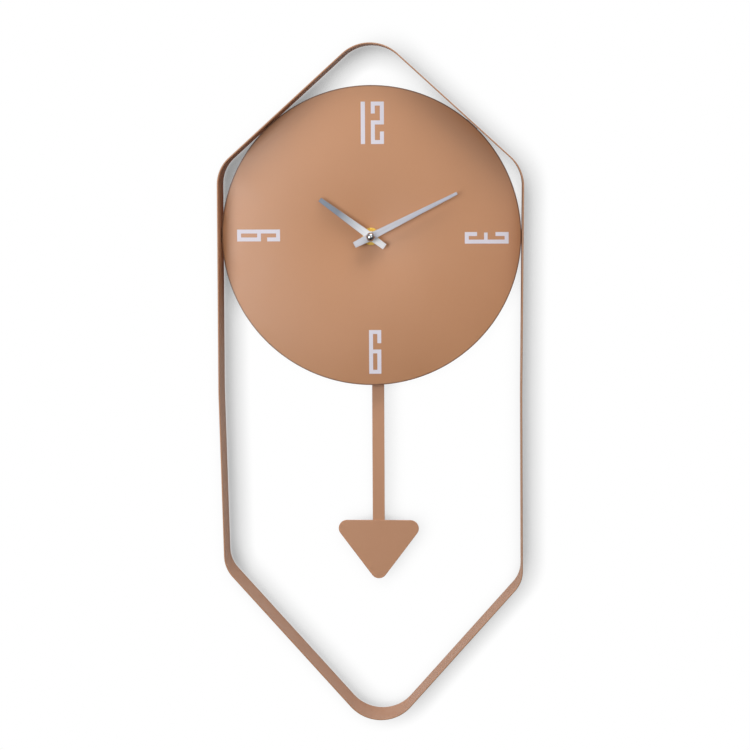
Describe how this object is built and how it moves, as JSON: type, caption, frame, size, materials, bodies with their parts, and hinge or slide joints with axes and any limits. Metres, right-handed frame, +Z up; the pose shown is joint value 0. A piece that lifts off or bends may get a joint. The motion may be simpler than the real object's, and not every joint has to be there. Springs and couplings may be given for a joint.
{
  "type": "pendulum wall clock",
  "caption": "Wall clock: a tall bent steel loop around a round metal dial, with two hands, a quartz movement behind and a flat pendulum that swings below.",
  "frame": {"origin": "the point on the wall, in the plane of the back edge, where the shank of the wall screw sits in the keyhole's upper end", "axes": "+Z up, +Y into the wall, so the front faces -Y, +X to the right as seen from the front"},
  "size_m": [0.2549, 0.036, 0.5695],
  "materials": {
    "copper_paint": "satin copper-brown paint on sheet steel",
    "satin_aluminium": "brushed",
    "polished_chrome": "polished",
    "brass": "machined",
    "black_plastic": "moulded, fine texture",
    "white_plastic": "moulded acetal",
    "rubber": "matte",
    "steel": "plain",
    "copper_wire": "enamelled copper wire",
    "board_green": "glass-fibre board with green mask",
    "battery_sleeve": "plain printed sleeve on a steel can",
    "magnet": "sintered ferrite"
  },
  "bodies": {
    "clock": {"frame_band": "copper_paint", "dial_plate": "copper_paint", "dial_tab_left": "copper_paint", "dial_tab_top_left": "copper_paint", "dial_tab_right": "copper_paint", "dial_tab_top_right": "copper_paint", "movement_case": "black_plastic", "movement_cover": "black_plastic", "threaded_bushing": "brass", "rubber_washer": "rubber", "brass_washer": "brass", "hex_nut": "brass", "train_plate": "steel", "stator": "steel", "drive_coil": "copper_wire", "circuit_board": "board_green", "quartz_crystal": "steel", "battery": "battery_sleeve", "battery_contact_plus": "steel", "battery_contact_minus": "steel", "pendulum_coil": "copper_wire", "pendulum_pivot_pin": "steel"},
    "minute": {"minute_arbor": "steel", "minute_hand": "satin_aluminium", "cap_nut": "polished_chrome"},
    "hour": {"hour_wheel": "white_plastic", "hour_hand": "satin_aluminium"},
    "motion": {"motion_wheel": "white_plastic", "setting_knob": "white_plastic"},
    "centre": {"centre_wheel": "white_plastic"},
    "third": {"third_wheel": "white_plastic"},
    "second": {"second_wheel": "white_plastic"},
    "fifth": {"fifth_wheel": "white_plastic"},
    "rotor": {"rotor": "magnet"},
    "pendulum": {"pendulum_hanger": "white_plastic", "pendulum_magnet": "magnet", "pendulum_rod": "copper_paint", "pendulum_bob": "copper_paint", "bob_stud": "copper_paint"}
  },
  "joints": [
    {"name": "minute_spin", "type": "hinge", "parent": "clock", "child": "minute", "pos_m": [0, -0.02, -0.048], "axis": [0, 1, 0], "continuous": true},
    {"name": "hour_spin", "type": "hinge", "parent": "clock", "child": "hour", "pos_m": [0, -0.02, -0.048], "axis": [0, 1, 0], "continuous": true},
    {"name": "motion_spin", "type": "hinge", "parent": "clock", "child": "motion", "pos_m": [-0.00779, -0.012, -0.0525], "axis": [0, 1, 0], "continuous": true},
    {"name": "rotor_spin", "type": "hinge", "parent": "clock", "child": "rotor", "pos_m": [-0.00875, -0.009, -0.03284], "axis": [0, 1, 0], "continuous": true},
    {"name": "fifth_spin", "type": "hinge", "parent": "clock", "child": "fifth", "pos_m": [-0.0045, -0.008, -0.04021], "axis": [0, 1, 0], "continuous": true},
    {"name": "second_spin", "type": "hinge", "parent": "clock", "child": "second", "pos_m": [0, -0.009, -0.048], "axis": [0, 1, 0], "continuous": true},
    {"name": "third_spin", "type": "hinge", "parent": "clock", "child": "third", "pos_m": [0.00736, -0.01, -0.04375], "axis": [0, 1, 0], "continuous": true},
    {"name": "centre_spin", "type": "hinge", "parent": "clock", "child": "centre", "pos_m": [0, -0.0112, -0.048], "axis": [0, 1, 0], "continuous": true},
    {"name": "pendulum_swing", "type": "hinge", "parent": "clock", "child": "pendulum", "pos_m": [0.005, -0.0085, -0.088], "axis": [0, 1, 0], "range_deg": [-4, 4]}
  ],
  "couplings": [
    {"joint": "hour_spin", "follows": "minute_spin", "ratio": 0.083333},
    {"joint": "motion_spin", "follows": "minute_spin", "ratio": -0.33333},
    {"joint": "fifth_spin", "follows": "rotor_spin", "ratio": -0.13333},
    {"joint": "second_spin", "follows": "rotor_spin", "ratio": 0.033333},
    {"joint": "third_spin", "follows": "rotor_spin", "ratio": -0.0044444},
    {"joint": "centre_spin", "follows": "rotor_spin", "ratio": 0.00055556}
  ]
}
